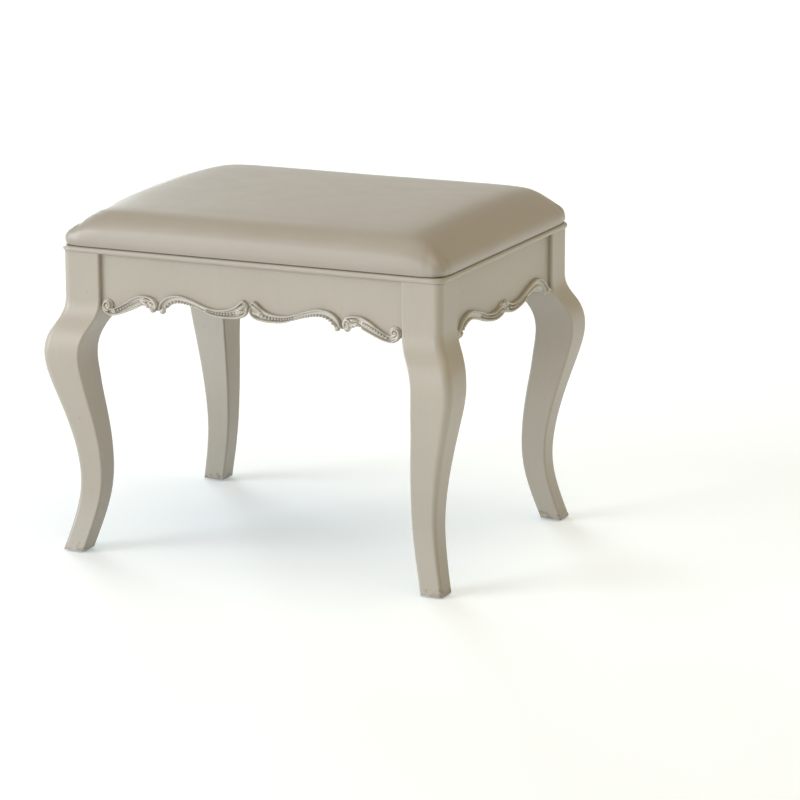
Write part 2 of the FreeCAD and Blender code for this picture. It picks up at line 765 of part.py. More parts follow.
def make_staples():
    """Staple crowns along the dust cover's four straight edges."""
    staples = []
    inset = size("rail_breadth") + size("dust_cover_gap") + size("staple_inset")
    half_x = value(RAIL_X) - inset
    half_y = value(RAIL_Y) - inset
    top = value(SEAT_BOTTOM) - size("dust_cover_thickness")
    pitch = size("staple_pitch")
    for across, along, turned in ((half_x, half_y, False), (half_y, half_x, True)):
        count = int((2 * across - 2 * size("dust_cover_chamfer")) / pitch)
        for step in range(count + 1):
            offset = (step - count / 2) * pitch
            for sign in (-1, 1):
                crown = doc.addObject("Part::Box", "staple_%d_%d_%d" % (turned, step, sign + 1))
                wire = "dimensions.staple_wire"
                crown.setExpression("Length", wire if turned else "dimensions.staple_crown")
                crown.setExpression("Width", "dimensions.staple_crown" if turned else wire)
                crown.setExpression("Height", wire)
                centre = Vector(sign * along, offset, top) if turned else Vector(offset, sign * along, top)
                half = Vector(size("staple_wire"), size("staple_crown"), 0) * 0.5
                if not turned:
                    half = Vector(half.y, half.x, 0)
                crown.Placement = Placement(centre - half - Vector(0, 0, size("staple_wire")), Rotation())
                staples.append(crown)
    add_group("dust_cover_staples", staples)


def check_and_write():
    """Refuse a failed object or an unsound shape, then write each sub-part to its own file."""
    doc.recompute()
    for item in doc.Objects:
        if "Invalid" in item.State or "Error" in item.State:
            raise RuntimeError("%s failed: %s" % (item.Label, item.State))
    for item in parts:
        if item.Shape.isNull() or not item.Shape.isValid() or not item.Shape.Solids:
            raise RuntimeError(item.Label + " is not a sound solid")
    os.makedirs("parts", exist_ok=True)
    for item in parts:
        item.Shape.exportStep("parts/%s.step" % item.Label)


for stool_corner in CORNERS:
    make_leg(stool_corner)
    make_corner_block(stool_corner)
for stool_side in SIDES:
    make_apron(stool_side)
    make_carving(stool_side)
    make_top_rail(stool_side)
make_seat_board()
make_seat_foam()
make_seat_cover()
make_dust_cover()
make_dowels()
make_bolts()
make_block_screws()
make_seat_screws()
make_glides()
make_staples()
check_and_write()
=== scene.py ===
import json
import math

import bmesh
import bpy
import numpy as np
from mathutils import Matrix, Vector


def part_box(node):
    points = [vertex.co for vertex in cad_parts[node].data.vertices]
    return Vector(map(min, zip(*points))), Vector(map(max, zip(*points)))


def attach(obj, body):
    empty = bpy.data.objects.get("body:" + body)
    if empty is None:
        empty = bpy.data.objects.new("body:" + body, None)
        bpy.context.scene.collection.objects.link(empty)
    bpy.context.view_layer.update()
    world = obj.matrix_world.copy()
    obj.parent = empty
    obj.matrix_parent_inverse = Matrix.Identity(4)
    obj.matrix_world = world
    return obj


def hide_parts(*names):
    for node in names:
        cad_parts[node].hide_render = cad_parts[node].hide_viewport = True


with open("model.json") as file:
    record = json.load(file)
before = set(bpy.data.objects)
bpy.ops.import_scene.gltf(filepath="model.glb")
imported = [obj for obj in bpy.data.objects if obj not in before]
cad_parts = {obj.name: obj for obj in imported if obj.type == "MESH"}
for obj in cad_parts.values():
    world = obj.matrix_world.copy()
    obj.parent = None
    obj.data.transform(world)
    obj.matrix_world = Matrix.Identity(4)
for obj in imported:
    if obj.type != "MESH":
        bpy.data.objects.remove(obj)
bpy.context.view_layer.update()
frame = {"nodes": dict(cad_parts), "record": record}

MM = 0.001

# Camera: the angles it looks from in degrees, its distance and aim in metres, and its lens in
# millimetres. It aims beside and below a point on the stool's middle line at the height given.
AZIMUTH = 24.33
ELEVATION = 13.6
DISTANCE = 4.557
AIM_HEIGHT = 0.225
AIM_RIGHT = 0.1028
AIM_DOWN = 0.0463
LENS = 159.9

# Cushion: its shape.
END_FULLNESS = 2.4 * MM     # how far its ends stand out of the seat's outline
FRONT_FULLNESS = 2.4 * MM   # how far its front and back stand out of the seat's outline
BORDER = 14 * MM            # height of the upright border above the seam
BORDER_RUN = 5 * MM         # how far in the border's rounded top reaches
END_RUN = 55 * MM           # how far in the shoulders at the ends reach
END_STEEPNESS = 2.2         # how steeply those shoulders start: 1 is a straight slope
FRONT_RUN = 34 * MM         # how far in the round shoulders at the front and back reach
CROWN_SHARE = 0.22          # share of the rise that is left for the crown between front and back
CORNER_FALL = 0.4           # share of the rise that is lost at the corners
SEAT_CORNER = 22 * MM       # radius of the outline's corners
SKIRT = 10 * MM             # how far the blank runs on below the seam before it is cut
TURN_IN = 8 * MM            # height over which the cover draws in to the seam
HEM = 30 * MM               # breadth of the hem under the board

# Cushion: how it is swollen as cloth.
VOXEL = 5 * MM              # size of its mesh
SHRINK = 3 * MM             # how far inside its final shape it starts
CLOTH_SLACK = 0.012         # how much longer than the shrunken shape the cloth may grow
SWELL_FRAMES = 20           # frames it is simulated for
SWELL_CAP = 1.1 * MM        # limit of the swelling that is kept
SPREAD_ROUNDS = 40          # rounds of averaging that even the swelling out

# Folds at each corner: their angle from the end's direction in degrees, their depth in millimetres
# (a bulge if negative) and their breadth in degrees.
CORNER_FOLDS = [(18, 3.2, 9), (70, 1.6, 8), (45, -0.9, 9)]
FOLD_RADIUS = 1.3 * SEAT_CORNER   # distance of the folds from the point they turn about
FOLD_REACH = 24 * MM              # how far either side of that distance they carry
FOLD_HEIGHT = 52 * MM             # height above the seam at which they have run out
BOARD_SHARE = 0.3                 # share of their depth that is left beside the board
BOARD_FADE = 7 * MM               # height above the board at which they are at their full depth

# Dust cover: stapled at even steps, tight at its edge and slack inside it.
DUST_CHAMFER = 75 * MM      # size of its cut corners
STAPLE_STEP = 60 * MM       # distance between staples
SLACK_RUN = 60 * MM         # how far in it goes slack
SLACK_DROP = 2.6 * MM       # how far it hangs in the middle
PUCKER_DEPTH = 0.18 * MM    # depth of the puckers between the staples
PUCKER_RUN = 28 * MM        # how far in the puckers carry
PUCKER_EDGE = 3 * MM        # breadth of the edge that stays flat

# Carving, in millimetres. A rim is its half breadth and its height out of the apron's face.
LOW_RIM = (2.0, 5.8)
HIGH_RIM = (1.5, 5.2)
CHANNEL_HEIGHT = 1.5        # height of the channel between the rims
EDGE_HEIGHT = 1.0           # height at which a rim starts at its ribbon's edge
SINK = 0.6                  # how far every shell runs into the apron
RIM_FADE = 0.04             # share of a ribbon over which its lower rim gives way to beads
END_TAPER = 0.02            # share of a ribbon over which each end tapers
BEAD_PROUDNESS = 1.75       # how far a bead stands out, in its radii
BEAD_PITCH = 2.15           # distance between beads, in their radii
ON_EDGE = 0.3               # beads nearer than this share to the lower edge take the rim's place

# Volutes: heights and the rim are in millimetres, and the other measures are shares of the radius.
VOLUTE_DISH = (0.92, 1.6, 1.4)    # radius, height of its stem and rise of its dome
VOLUTE_EYE = (0.26, 2.6, 2.6)     # the same for the eye
VOLUTE_STEPS = 46                 # rings of the rim for each turn
VOLUTE_SIDES = 10                 # sides of the rim
VOLUTE_WINDING = 0.7              # share of its radius that a whole turn winds in by
VOLUTE_RIM = 1.35                 # radius of the rim at its outer end
VOLUTE_THINNING = 0.4             # share of that radius that is lost by its inner end
VOLUTE_HEIGHT = 3.3               # height of the rim's middle at its outer end
VOLUTE_PROUDNESS = 1.4            # how much taller than broad the rim is

# Leaves, in millimetres.
LEAF_CREST = (2.6, 2.2)           # base height of its crest, and what its middle has on top of that
LEAF_VEIN = (0.6, 0.25)           # depth of the vein, and its breadth as a share of the half breadth

# Right halves of the carvings, from the middle outwards. Each point is its distance from the apron's
# middle and its height above the carving's lowest point. A ribbon has a lower and an upper edge, and
# strings of beads: where they start and end along it, their place between its edges, and two radii.
# A scroll is its middle, radius, turns, the angle of its outer end in degrees, and its turning sense.
# A knob is its middle and radius, and a leaf is its root, tip and breadth.
FRONT_CARVING = {
    "ribbons": [
        {
            "low": [(1.0, 26.5), (2.6, 18.0), (11, 12.4), (28, 10.4), (48, 11.9), (63, 17.2), (79, 22.0),
                    (96, 24.7), (108, 21.5), (114.5, 16.0), (118.0, 10.5)],
            "high": [(2.0, 30.5), (8.0, 35.4), (17.5, 28.0), (31, 22.3), (48, 20.9), (63, 24.0), (78, 29.4),
                     (96, 33.6), (112, 31.0), (122.0, 23.0), (125.4, 12.5)],
            "beads": [(0.12, 0.47, 0.5, 2.3, 1.4), (0.50, 0.94, 0.12, 1.3, 2.5)],
        },
        {
            "low": [(132.0, 14.0), (138, 13.2), (148, 16.6), (158, 11.5), (172, 5.4), (184, 1.2),
                    (194, 0.3), (201.0, 4.0), (204.0, 9.5)],
            "high": [(127.6, 17.0), (133, 27.4), (149, 29.6), (161, 25.4), (173, 17.6), (183, 11.6),
                     (190, 9.4), (195.5, 11.0), (198.5, 14.0)],
            "beads": [(0.34, 0.80, 0.54, 1.5, 2.3), (0.05, 0.28, 0.14, 2.6, 1.6)],
        },
    ],
    "scrolls": [
        ((134.2, 19.4), 7.6, 0.62, 235, -1),
        ((196.8, 13.2), 8.2, 1.3, 258, 1),
    ],
    "knobs": [((119.6, 11.8), 3.6), ((133.2, 12.6), 3.9)],
    "leaves": [
        ((17.5, 21.5), (4.2, 29.5), 6.6), ((18.5, 18.6), (4.6, 21.4), 6.4),
        ((148.5, 23.5), (137.0, 24.0), 5.4), ((148.0, 20.5), (138.5, 16.8), 5.4),
    ],
}
SIDE_CARVING = {
    "ribbons": [
        {
            "low": [(1.6, 6.2), (12, 2.4), (30, 0.5), (55, 4.0), (80, 11.0), (105, 16.2), (124, 12.0),
                    (136, 3.2), (142.5, -0.4)],
            "high": [(2.4, 17.5), (11, 16.4), (30, 11.6), (55, 14.6), (80, 22.4), (105, 27.6), (126, 23.6),
                     (139.5, 13.8), (147.0, 7.0)],
            "beads": [(0.10, 0.45, 0.5, 2.3, 1.4), (0.50, 0.92, 0.13, 1.3, 2.3)],
        },
    ],
    "scrolls": [
        ((6.6, 14.4), 5.8, 0.8, 205, -1),
        ((145.0, 5.2), 5.6, 1.35, 30, -1),
    ],
    "knobs": [((133.0, 5.6), 2.6)],
    "leaves": [((0, 18.5), (0, 4.5), 4.6), ((14.0, 7.5), (4.6, 8.5), 7.0)],
}


# ---- Helpers for meshes ----

def mesh_object(name, vertices, faces, smooth=True):
    """Object from points and faces, with all its normals outwards."""
    mesh = bpy.data.meshes.new(name)
    mesh.from_pydata([tuple(v) for v in vertices], [], faces)
    mesh.validate()
    work = bmesh.new()
    work.from_mesh(mesh)
    bmesh.ops.recalc_face_normals(work, faces=work.faces)
    work.to_mesh(mesh)
    work.free()
    if smooth:
        mesh.shade_smooth()
    piece = bpy.data.objects.new(name, mesh)
    bpy.context.scene.collection.objects.link(piece)
    return piece


def smooth_curve(points, count, steps=24):
    """Points evenly spread along a Catmull-Rom curve through the given points."""
    raw = np.array(points, float)
    knots = np.vstack([2 * raw[0] - raw[1], raw, 2 * raw[-1] - raw[-2]])
    dense = []
    for step in range(len(raw) - 1):
        p0, p1, p2, p3 = knots[step:step + 4]
        for t in np.linspace(0, 1, steps, endpoint=False):
            dense.append(0.5 * ((2 * p1) + (p2 - p0) * t + (2 * p0 - 5 * p1 + 4 * p2 - p3) * t ** 2
                                + (3 * p1 - p0 - 3 * p2 + p3) * t ** 3))
    dense.append(raw[-1])
    dense = np.array(dense)
    run = np.concatenate([[0], np.cumsum(np.linalg.norm(np.diff(dense, axis=0), axis=1))])
    stations = np.linspace(0, run[-1], count)
    return np.stack([np.interp(stations, run, dense[:, axis]) for axis in range(dense.shape[1])], axis=1)


class Relief:
    """Collects closed shells in an apron's own frame: across, height, and out of the apron's face."""

    def __init__(self):
        self.vertices = []
        self.faces = []

    def add_grid(self, grid):
        """Skin over a grid of points whose rows are closed loops, with both ends capped."""
        rows, columns = grid.shape[:2]
        first = len(self.vertices)
        self.vertices.extend(grid.reshape(-1, 3).tolist())
        for row in range(rows - 1):
            for column in range(columns):
                following = (column + 1) % columns
                a = first + row * columns + column
                b = first + row * columns + following
                self.faces.append((a, b, b + columns, a + columns))
        self.faces.append(tuple(first + column for column in reversed(range(columns))))
        last = first + (rows - 1) * columns
        self.faces.append(tuple(last + column for column in range(columns)))

    def add_mirrored(self, grid):
        """A shell and its mirror image across the apron's middle."""
        self.add_grid(grid)
        other = grid.copy()
        other[..., 0] *= -1
        self.add_grid(other[:, ::-1])


def rim_height(depth, radius, height):
    """Height of a rounded rim at a distance in from its edge, or nothing beyond it."""
    inside = np.clip(1 - ((depth - radius) / radius) ** 2, 0, 1)
    return np.where(depth < 2 * radius, EDGE_HEIGHT + (height - EDGE_HEIGHT) * np.sqrt(inside), 0)


def plain_rim(strings, along):
    """How much of a ribbon's lower rim is left at places along it: none where beads sit on the edge."""
    left = np.ones_like(along)
    for start, finish, side, *_ in strings:
        if side < ON_EDGE:
            beaded = np.minimum(along - start, finish - along)
            left *= 1 - np.clip(beaded / RIM_FADE + 0.5, 0, 1)
    return left


def add_ribbon(relief, ribbon, rows=170, columns=36):
    """Ribbon with a rim along each edge and a channel between them, in which the beads lie."""
    low = smooth_curve(ribbon["low"], rows)
    high = smooth_curve(ribbon["high"], rows)
    spread = 0.5 - 0.5 * np.cos(np.linspace(0, math.pi, columns))
    along = np.linspace(0, 1, rows)
    plain = plain_rim(ribbon["beads"], along)
    ends = np.sqrt(np.clip(np.minimum(along, 1 - along) / END_TAPER, 0.04, 1))
    grid = np.zeros((rows, columns + 2, 3))
    for row in range(rows):
        breadth = np.linalg.norm(high[row] - low[row])
        low_rim = rim_height(spread * breadth, *LOW_RIM) * plain[row]
        height = np.maximum(low_rim, rim_height((1 - spread) * breadth, *HIGH_RIM))
        on_rim = (spread * breadth < LOW_RIM[0] * plain[row]) | ((1 - spread) * breadth < HIGH_RIM[0])
        height = np.where(on_rim, height, np.maximum(height, CHANNEL_HEIGHT))
        grid[row, 1:-1, :2] = low[row] + (high[row] - low[row]) * spread[:, None]
        grid[row, 1:-1, 2] = height * ends[row]
        grid[row, 0] = (*low[row], -SINK)
        grid[row, -1] = (*high[row], -SINK)
    relief.add_mirrored(grid)
    for start, finish, side, first_radius, last_radius in ribbon["beads"]:
        add_beads(relief, low + (high - low) * side, start, finish, first_radius, last_radius)


def add_beads(relief, path, start, finish, first_radius, last_radius):
    """String of nearly touching beads along part of a path, with radii that change evenly."""
    steps = np.linalg.norm(np.diff(path, axis=0), axis=1)
    run = np.concatenate([[0], np.cumsum(steps)])
    where, last = start * run[-1], finish * run[-1]
    length = last - where
    while where < last:
        radius = first_radius + (last_radius - first_radius) * (1 - (last - where) / length)
        centre = [np.interp(where, run, path[:, axis]) for axis in range(2)]
        relief.add_mirrored(dome(centre, radius, CHANNEL_HEIGHT, radius * BEAD_PROUDNESS))
        where += radius * BEAD_PITCH


def dome(centre, radius, base, rise, turns=12, levels=6):
    """Rounded boss: a stem up to its base height, topped by half an ellipsoid with a tiny flat tip."""
    tip = 0.06 * radius
    rows = [(radius, -SINK)]
    for level in range(levels):
        angle = level / levels * math.pi / 2
        rows.append((radius * math.cos(angle), base + rise * math.sin(angle)))
    rows.append((tip, base + rise))
    grid = np.zeros((len(rows), turns, 3))
    for row, (reach, height) in enumerate(rows):
        for turn in range(turns):
            angle = 2 * math.pi * turn / turns
            across = centre[0] + reach * math.cos(angle)
            grid[row, turn] = (across, centre[1] + reach * math.sin(angle), height)
    return grid


def add_scroll(relief, centre, radius, turns, start, sense):
    """Volute: a rim that winds inwards over a shallow dish and ends in a round eye."""
    share, base, rise = VOLUTE_DISH
    relief.add_mirrored(dome(centre, radius * share, base, rise, turns=28))
    steps = int(VOLUTE_STEPS * turns)
    grid = np.zeros((steps + 1, VOLUTE_SIDES, 3))
    for step in range(steps + 1):
        part = step / steps
        angle = math.radians(start) + sense * 2 * math.pi * turns * part
        reach = radius * (1 - VOLUTE_WINDING * min(1, turns) * part ** 0.9)
        thickness = VOLUTE_RIM * (1 - VOLUTE_THINNING * part)
        outward = np.array([math.cos(angle), math.sin(angle)])
        for side in range(VOLUTE_SIDES):
            around = 2 * math.pi * side / VOLUTE_SIDES
            across, height = np.array(centre) + outward * (reach - thickness + thickness * math.cos(around))
            out = VOLUTE_HEIGHT + part + thickness * VOLUTE_PROUDNESS * math.sin(around)
            grid[step, side] = (across, height, out)
    relief.add_mirrored(grid)
    share, base, rise = VOLUTE_EYE
    relief.add_mirrored(dome(centre, radius * share, base, rise, turns=16))


def add_leaf(relief, root, tip, breadth, rows=18, columns=16):
    """Leaf lobe: narrow at its root, rounded at its tip, with a sunk vein along its middle."""
    root = np.array(root, float)
    tip = np.array(tip, float)
    along = tip - root
    across = np.array([-along[1], along[0]]) / np.linalg.norm(along)
    grid = np.zeros((rows, columns + 2, 3))
    for row in range(rows):
        part = row / (rows - 1)
        half = breadth / 2 * (0.1 + 0.9 * math.sin(math.pi * (0.08 + part * 0.86)) ** 0.8)
        crest = LEAF_CREST[0] + LEAF_CREST[1] * math.sin(math.pi * (0.15 + 0.7 * part))
        place = root + along * part
        for column in range(columns):
            side = 2 * column / (columns - 1) - 1
            spot = place + across * half * side
            vein = LEAF_VEIN[0] * math.exp(-(side / LEAF_VEIN[1]) ** 2)
            grid[row, column + 1] = (spot[0], spot[1], crest * math.sqrt(1 - (0.95 * side) ** 2) - vein)
        grid[row, 0] = (*(place - across * half), -SINK)
        grid[row, -1] = (*(place + across * half), -SINK)
    in_the_middle = root[0] == tip[0] == 0
    if in_the_middle:
        relief.add_grid(grid)
    else:
        relief.add_mirrored(grid)


def make_carving(side, quarter_turns, carving):
    """Carved ribbons of one apron, set on the apron's outer face."""
    relief = Relief()
    for ribbon in carving["ribbons"]:
        add_ribbon(relief, ribbon)
    for scroll in carving["scrolls"]:
        add_scroll(relief, *scroll)
    for centre, radius in carving["knobs"]:
        relief.add_mirrored(dome(centre, radius, CHANNEL_HEIGHT, radius, turns=20, levels=9))
    for leaf in carving["leaves"]:
        add_leaf(relief, *leaf)
    outward_axis = 1 if side in ("front", "back") else 0
    face = max(abs(corner[outward_axis]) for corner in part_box("apron_" + side))
    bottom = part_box("carving_" + side)[0].z
    turn = Matrix.Rotation(math.radians(90 * quarter_turns), 3, "Z")
    places = []
    for across, height, out in relief.vertices:
        places.append(turn @ Vector((across * MM, -face - out * MM, bottom + height * MM)))
    piece = mesh_object("carving_%s_relief" % side, places, relief.faces)
    piece.data.materials.append(MATERIALS["carved_wood"])
    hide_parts("carving_" + side)
    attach(piece, "root")


# ---- Materials ----

def new_material(name):
    """Material with its node tree and its shader."""
    material = bpy.data.materials.new(name)
    material.use_nodes = True
    return material, material.node_tree, material.node_tree.nodes["Principled BSDF"]


def add_node(tree, kind, inputs=None, **settings):
    """Shader node with settings, and inputs that are values or sockets."""
    item = tree.nodes.new("ShaderNode" + kind)
    for key, setting in settings.items():
        setattr(item, key, setting)
    for key, content in (inputs or {}).items():
        if isinstance(content, bpy.types.NodeSocket):
            tree.links.new(content, item.inputs[key])
        else:
            item.inputs[key].default_value = content
    return item


def stretched(tree, scale):
    """Object coordinates, which are metres in the stool's frame, scaled along each axis."""
    place = add_node(tree, "TexCoord")
    return add_node(tree, "Mapping", {"Vector": place.outputs["Object"], "Scale": scale}).outputs["Vector"]


def noise(tree, scale, detail=3.0, roughness=0.5, coordinates=None):
    """Noise between 0 and 1, in plain object coordinates unless others are given."""
    vector = coordinates or stretched(tree, (1, 1, 1))
    inputs = {"Vector": vector, "Scale": scale, "Detail": detail, "Roughness": roughness}
    return add_node(tree, "TexNoise", inputs).outputs["Fac"]


def mix_colour(tree, factor, first, second):
    """Mix of two colours: all the first one where the factor is 0, and all the second where it is 1."""
    item = add_node(tree, "Mix", {"Factor": factor}, data_type="RGBA")
    for key, content in ((6, first), (7, second)):
        if isinstance(content, bpy.types.NodeSocket):
            tree.links.new(content, item.inputs[key])
        else:
            item.inputs[key].default_value = (*content, 1.0)
    return item.outputs[2]


def remap(tree, value, low, high, to_low, to_high):
    """Value whose range from low to high is carried over to another range, and limited to it."""
    inputs = {"Value": value, "From Min": low, "From Max": high, "To Min": to_low, "To Max": to_high}
    return add_node(tree, "MapRange", inputs).outputs["Result"]


def bump(tree, height, strength, distance, normal=None):
    """Normal that is tilted by a height, on top of another normal if one is given."""
    inputs = {"Height": height, "Strength": strength, "Distance": distance}
    if normal is not None:
        inputs["Normal"] = normal
    return add_node(tree, "Bump", inputs).outputs["Normal"]


def painted_wood(name, shade_and_glaze_distance, highlit_and_rubbed):
    """Antique pearl white lacquer: a soft brushed tone that darkens towards the feet, scuffs at their
    very bottom, painted shade in the recesses and joints that also stands for a darker glaze, and
    where it is carved, a painted highlight on the ridges that also stands for pale rubbing."""
    material, tree, shader = new_material(name)
    broad = noise(tree, 7.0, detail=4.0)
    streaks = noise(tree, 1.0, detail=5.0, roughness=0.6, coordinates=stretched(tree, (260, 260, 22)))
    patches = remap(tree, broad, 0.3, 0.7, 0, 1)
    base = mix_colour(tree, patches, (0.372, 0.341, 0.294), (0.402, 0.368, 0.317))
    base = mix_colour(tree, remap(tree, streaks, 0.35, 0.75, 0.0, 0.2), base, (0.335, 0.300, 0.245))
    height = add_node(tree, "SeparateXYZ", {"Vector": stretched(tree, (1, 1, 1))}).outputs["Z"]
    base = mix_colour(tree, remap(tree, height, 0.02, 0.20, 0.45, 0.0), base, (0.29, 0.268, 0.225))
    lowness = remap(tree, height, 0, 0.016, 0.2, -0.2)
    scuffs = add_node(tree, "Math", {0: noise(tree, 140.0, detail=4.0), 1: lowness}, operation="ADD")
    scuffed = remap(tree, scuffs.outputs["Value"], 0.5, 0.62, 0.0, 0.7)
    base = mix_colour(tree, scuffed, base, (0.20, 0.165, 0.115))
    # Painted shade: the colour darkens where little surrounding light reaches, in recesses, in joints
    # between parts and under the moulding. It also stands for an antique glaze.
    recess = add_node(tree, "AmbientOcclusion", {"Distance": shade_and_glaze_distance}, samples=8)
    shade_and_glaze = remap(tree, recess.outputs["AO"], 0.15, 0.68, 0.85, 0.0)
    base = mix_colour(tree, shade_and_glaze, base, (0.16, 0.14, 0.105))
    if highlit_and_rubbed:
        # Painted highlight: the carving's convex ridges turn pale. This also stands for rubbed wear.
        ridge = add_node(tree, "AmbientOcclusion", {"Distance": 2.2 * MM}, samples=8, inside=True)
        highlight_and_wear = remap(tree, ridge.outputs["AO"], 0.3, 0.85, 0.85, 0.0)
        base = mix_colour(tree, highlight_and_wear, base, (0.62, 0.60, 0.56))
    tree.links.new(base, shader.inputs["Base Color"])
    tree.links.new(remap(tree, broad, 0.25, 0.75, 0.36, 0.46), shader.inputs["Roughness"])
    fine = noise(tree, 900.0, detail=2.0)
    normal = bump(tree, streaks, 0.12, 0.25 * MM)
    tree.links.new(bump(tree, fine, 0.06, 0.1 * MM, normal), shader.inputs["Normal"])
    shader.inputs["Coat Weight"].default_value = 0.22
    shader.inputs["Coat Roughness"].default_value = 0.28
    return material


def upholstery():
    """Pearl beige faux leather: pebbled grain, faint mottling and a soft gloss."""
    material, tree, shader = new_material("upholstery")
    broad = noise(tree, 5.0, detail=3.0)
    cloud = noise(tree, 28.0, detail=4.0)
    patches = remap(tree, broad, 0.3, 0.7, 0, 1)
    base = mix_colour(tree, patches, (0.328, 0.295, 0.253), (0.352, 0.318, 0.274))
    base = mix_colour(tree, remap(tree, cloud, 0.35, 0.7, 0.0, 0.25), base, (0.368, 0.334, 0.290))
    pores = add_node(tree, "TexVoronoi", {"Vector": stretched(tree, (1, 1, 1)), "Scale": 780.0},
                     feature="DISTANCE_TO_EDGE")
    crease = remap(tree, pores.outputs["Distance"], 0.0, 0.12, 0.0, 1.0)
    base = mix_colour(tree, remap(tree, crease, 0.0, 1.0, 0.22, 0.0), base, (0.28, 0.235, 0.19))
    place = add_node(tree, "SeparateXYZ", {"Vector": stretched(tree, (1, 1, 1))})
    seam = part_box("seat_cover")[0].z
    shadow = remap(tree, place.outputs["Z"], seam + 0.5 * MM, seam + 1.6 * MM, 0.9, 0.0)
    base = mix_colour(tree, shadow, base, (0.06, 0.045, 0.03))
    tree.links.new(base, shader.inputs["Base Color"])
    tree.links.new(remap(tree, cloud, 0.3, 0.7, 0.30, 0.40), shader.inputs["Roughness"])
    wrinkles = noise(tree, 60.0, detail=5.0, roughness=0.55)
    normal = bump(tree, crease, 0.22, 0.18 * MM)
    tree.links.new(bump(tree, wrinkles, 0.10, 0.8 * MM, normal), shader.inputs["Normal"])
    shader.inputs["Coat Weight"].default_value = 0.20
    shader.inputs["Coat Roughness"].default_value = 0.34
    shader.inputs["Sheen Weight"].default_value = 0.12
    shader.inputs["Sheen Roughness"].default_value = 0.45
    return material


def bare_wood(name, light, dark, rings):
    """Unfinished wood with grain along the stool's width."""
    material, tree, shader = new_material(name)
    coordinates = stretched(tree, (1.5, 14, 14))
    warp = noise(tree, 3.0, detail=4.0, coordinates=coordinates)
    grain_inputs = {"Vector": coordinates, "Scale": rings, "Distortion": 6.0, "Detail": 4.0}
    grain = add_node(tree, "TexWave", grain_inputs, wave_type="RINGS")
    fibre = noise(tree, 1.0, detail=4.0, coordinates=stretched(tree, (40, 900, 900)))
    base = mix_colour(tree, grain.outputs["Fac"], light, dark)
    base = mix_colour(tree, remap(tree, fibre, 0.4, 0.7, 0.0, 0.35), base, dark)
    tree.links.new(base, shader.inputs["Base Color"])
    tree.links.new(remap(tree, warp, 0.3, 0.7, 0.55, 0.75), shader.inputs["Roughness"])
    tree.links.new(bump(tree, fibre, 0.25, 0.3 * MM), shader.inputs["Normal"])
    return material


def dust_cloth():
    """Black non-woven cloth with pressed fibres and a dotted bonding pattern."""
    material, tree, shader = new_material("dust_cloth")
    fibres = noise(tree, 1400.0, detail=4.0, roughness=0.7)
    dots = add_node(tree, "TexVoronoi", {"Vector": stretched(tree, (1, 1, 1)), "Scale": 420.0})
    spots = remap(tree, dots.outputs["Distance"], 0.2, 0.5, 0.0, 1.0)
    base = mix_colour(tree, fibres, (0.018, 0.018, 0.020), (0.055, 0.054, 0.052))
    tree.links.new(base, shader.inputs["Base Color"])
    tree.links.new(remap(tree, fibres, 0.3, 0.7, 0.75, 0.95), shader.inputs["Roughness"])
    normal = bump(tree, fibres, 0.35, 0.2 * MM)
    tree.links.new(bump(tree, spots, 0.3, 0.2 * MM, normal), shader.inputs["Normal"])
    shader.inputs["Sheen Weight"].default_value = 0.3
    return material


def zinc_steel():
    """Zinc-plated steel: grey, with a faint crystalline mottle and fine scratches."""
    material, tree, shader = new_material("zinc_steel")
    crystals = add_node(tree, "TexVoronoi", {"Vector": stretched(tree, (1, 1, 1)), "Scale": 350.0})
    scratches = noise(tree, 1.0, detail=3.0, coordinates=stretched(tree, (2600, 300, 900)))
    base = mix_colour(tree, crystals.outputs["Distance"], (0.56, 0.56, 0.55), (0.70, 0.70, 0.68))
    tree.links.new(base, shader.inputs["Base Color"])
    tree.links.new(remap(tree, scratches, 0.3, 0.7, 0.28, 0.45), shader.inputs["Roughness"])
    tree.links.new(bump(tree, scratches, 0.1, 0.1 * MM), shader.inputs["Normal"])
    shader.inputs["Metallic"].default_value = 1.0
    return material


def glide_plastic():
    """Matte nylon with a fine moulded texture and light scuffing."""
    material, tree, shader = new_material("glide_plastic")
    texture = noise(tree, 1600.0, detail=2.0)
    scuffs = noise(tree, 240.0, detail=5.0, roughness=0.65)
    scuffed = remap(tree, scuffs, 0.45, 0.7, 0.0, 0.6)
    base = mix_colour(tree, scuffed, (0.62, 0.60, 0.55), (0.42, 0.40, 0.36))
    tree.links.new(base, shader.inputs["Base Color"])
    tree.links.new(remap(tree, scuffs, 0.3, 0.7, 0.45, 0.65), shader.inputs["Roughness"])
    tree.links.new(bump(tree, texture, 0.2, 0.15 * MM), shader.inputs["Normal"])
    return material


def seat_foam():
    """Open-cell foam, cream with darker cells."""
    material, tree, shader = new_material("foam")
    cells = add_node(tree, "TexVoronoi", {"Vector": stretched(tree, (1, 1, 1)), "Scale": 900.0})
    base = mix_colour(tree, cells.outputs["Distance"], (0.55, 0.49, 0.36), (0.78, 0.72, 0.58))
    tree.links.new(base, shader.inputs["Base Color"])
    tree.links.new(bump(tree, cells.outputs["Distance"], 0.5, 0.5 * MM), shader.inputs["Normal"])
    tree.links.new(remap(tree, cells.outputs["Distance"], 0, 1, 0.85, 0.98), shader.inputs["Roughness"])
    return material


def pale_floor():
    """Nearly white studio floor, with a faint glow so that shadows on it stay light."""
    material, tree, shader = new_material("pale_floor")
    cloud = noise(tree, 1.2, detail=2.0)
    base = mix_colour(tree, cloud, (0.86, 0.87, 0.88), (0.88, 0.89, 0.90))
    tree.links.new(base, shader.inputs["Base Color"])
    shader.inputs["Roughness"].default_value = 0.7
    shader.inputs["Emission Color"].default_value = (0.70, 0.86, 1.0, 1.0)
    shader.inputs["Emission Strength"].default_value = 0.26
    return material


